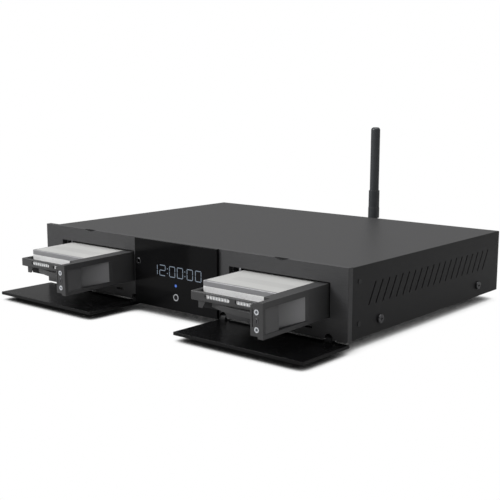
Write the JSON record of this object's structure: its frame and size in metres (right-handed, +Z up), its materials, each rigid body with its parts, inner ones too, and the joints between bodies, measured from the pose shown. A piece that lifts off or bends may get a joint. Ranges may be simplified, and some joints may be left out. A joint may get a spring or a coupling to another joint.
{
  "type": "media player with hard drive trays",
  "caption": "Wide low media player with a glass clock window, fold-down doors and sliding hard drive trays, side vents and a folding rear antenna.",
  "frame": {"origin": "on the surface it stands on, in the middle of the case's width, half way between the front of the pulled-out trays and the back of the antenna", "axes": "+Z up, the front faces -Y, +X to the right seen from the front"},
  "size_m": [0.44, 0.4302, 0.195],
  "materials": {
    "painted_steel": "fine satin black powder coat",
    "front_metal": "satin anodised black",
    "door_metal": "black, slightly glossy",
    "black_glass": "polished black window",
    "zinc_steel": "bare zinc-plated sheet",
    "screw_steel": "bright nickel",
    "black_screw": "black oxide",
    "foot_plastic": "moulded, fine texture",
    "foot_rubber": "matt",
    "tray_plastic": "moulded, fine spark texture",
    "inner_plastic": "moulded, matt",
    "lever_plastic": "moulded, satin",
    "lock_metal": "turned and polished",
    "light_ring": "clear white light pipe",
    "button_metal": "turned",
    "blue_light": "lit blue",
    "clock_light": "lit pale blue segments",
    "jack_metal": "nickel sleeve",
    "drive_casting": "machined and bare",
    "drive_cover": "satin grey",
    "drive_label": "printed paper, kept bare",
    "circuit_board": "green solder mask",
    "socket_metal": "stamped sheet",
    "socket_plastic": "moulded black",
    "sink_metal": "extruded",
    "grommet_rubber": "soft",
    "antenna_metal": "gold-plated thread",
    "antenna_plastic": "satin black"
  },
  "bodies": {
    "case": {"antenna_socket": "antenna_metal", "audio_sockets": "socket_plastic", "backplanes": "circuit_board", "base_pan": "painted_steel", "clock_display": "clock_light", "cover_screws": "black_screw", "data_socket": "socket_metal", "display_board": "circuit_board", "display_carrier": "inner_plastic", "display_window": "black_glass", "feet": "foot_plastic", "foot_pads": "foot_rubber", "front_brackets": "zinc_steel", "front_panel": "front_metal", "headphone_jack": "jack_metal", "heat_sink": "sink_metal", "hinge_brackets": "inner_plastic", "hinge_pins": "screw_steel", "mainboard": "circuit_board", "network_socket": "socket_metal", "power_inlet": "socket_plastic", "power_ring": "light_ring", "power_supply": "circuit_board", "rack_cage_left": "zinc_steel", "rack_cage_right": "zinc_steel", "rack_guides": "inner_plastic", "rack_isolators": "grommet_rubber", "rear_panel": "painted_steel", "side_screws": "screw_steel", "status_light": "blue_light", "switch_frame": "socket_plastic", "top_cover": "painted_steel", "video_socket": "socket_metal"},
    "power_button": {"power_button": "button_metal"},
    "power_rocker": {"power_rocker": "socket_plastic"},
    "antenna_elbow": {"antenna_elbow": "antenna_plastic"},
    "antenna_whip": {"antenna_whip": "antenna_plastic"},
    "door_right": {"door_right": "door_metal", "door_knuckles_right": "inner_plastic"},
    "tray_right": {"tray_frame_right": "tray_plastic", "tray_bar_right": "tray_plastic", "tray_lights_right": "light_ring", "drive_base_right": "drive_casting", "drive_cover_right": "drive_cover", "drive_label_right": "drive_label", "drive_board_right": "circuit_board"},
    "lever_right": {"tray_lever_right": "lever_plastic"},
    "lock_right": {"tray_lock_right": "lock_metal"},
    "door_left": {"door_left": "door_metal", "door_knuckles_left": "inner_plastic"},
    "tray_left": {"tray_frame_left": "tray_plastic", "tray_bar_left": "tray_plastic", "tray_lights_left": "light_ring", "drive_base_left": "drive_casting", "drive_cover_left": "drive_cover", "drive_label_left": "drive_label", "drive_board_left": "circuit_board"},
    "lever_left": {"tray_lever_left": "lever_plastic"},
    "lock_left": {"tray_lock_left": "lock_metal"}
  },
  "joints": [
    {"name": "door_right_hinge", "type": "hinge", "parent": "case", "child": "door_right", "pos_m": [0.1372, -0.11755, 0.0112], "axis": [-1, 0, 0], "range_deg": [0, 12]},
    {"name": "tray_right_slide", "type": "slide", "parent": "case", "child": "tray_right", "axis": [0, 0.9998, 0.0209], "range_m": [-0.06, 0.096]},
    {"name": "lever_right_pivot", "type": "hinge", "parent": "tray_right", "child": "lever_right", "pos_m": [0.1866, -0.18741, 0.04168], "axis": [0, -0.0209, 0.9998], "range_deg": [0, 45]},
    {"name": "lock_right_turn", "type": "hinge", "parent": "tray_right", "child": "lock_right", "pos_m": [0.1904, -0.2147, 0.04581], "axis": [0, -0.9998, -0.0209], "range_deg": [0, 90]},
    {"name": "door_left_hinge", "type": "hinge", "parent": "case", "child": "door_left", "pos_m": [-0.1278, -0.11755, 0.0112], "axis": [-1, 0, 0], "range_deg": [0, 12]},
    {"name": "tray_left_slide", "type": "slide", "parent": "case", "child": "tray_left", "axis": [0, 0.9998, 0.0209], "range_m": [-0.06, 0.096]},
    {"name": "lever_left_pivot", "type": "hinge", "parent": "tray_left", "child": "lever_left", "pos_m": [-0.0784, -0.18741, 0.04168], "axis": [0, -0.0209, 0.9998], "range_deg": [0, 45]},
    {"name": "lock_left_turn", "type": "hinge", "parent": "tray_left", "child": "lock_left", "pos_m": [-0.0746, -0.2147, 0.04581], "axis": [0, -0.9998, -0.0209], "range_deg": [0, 90]},
    {"name": "power_button_press", "type": "slide", "parent": "case", "child": "power_button", "axis": [0, 1, 0], "range_m": [0, 0.0008], "stiffness_N_per_m": 400, "springref_m": -0.001},
    {"name": "rocker_tip", "type": "hinge", "parent": "case", "child": "power_rocker", "pos_m": [-0.146, 0.19335, 0.046], "axis": [1, 0, 0], "range_deg": [0, 12]},
    {"name": "antenna_swivel", "type": "hinge", "parent": "case", "child": "antenna_elbow", "pos_m": [0.0355, 0.20045, 0.0705], "axis": [0, 1, 0], "range_deg": [-90, 90]},
    {"name": "antenna_fold", "type": "hinge", "parent": "antenna_elbow", "child": "antenna_whip", "pos_m": [0.0355, 0.20795, 0.0705], "axis": [-1, 0, 0], "range_deg": [0, 90]}
  ]
}
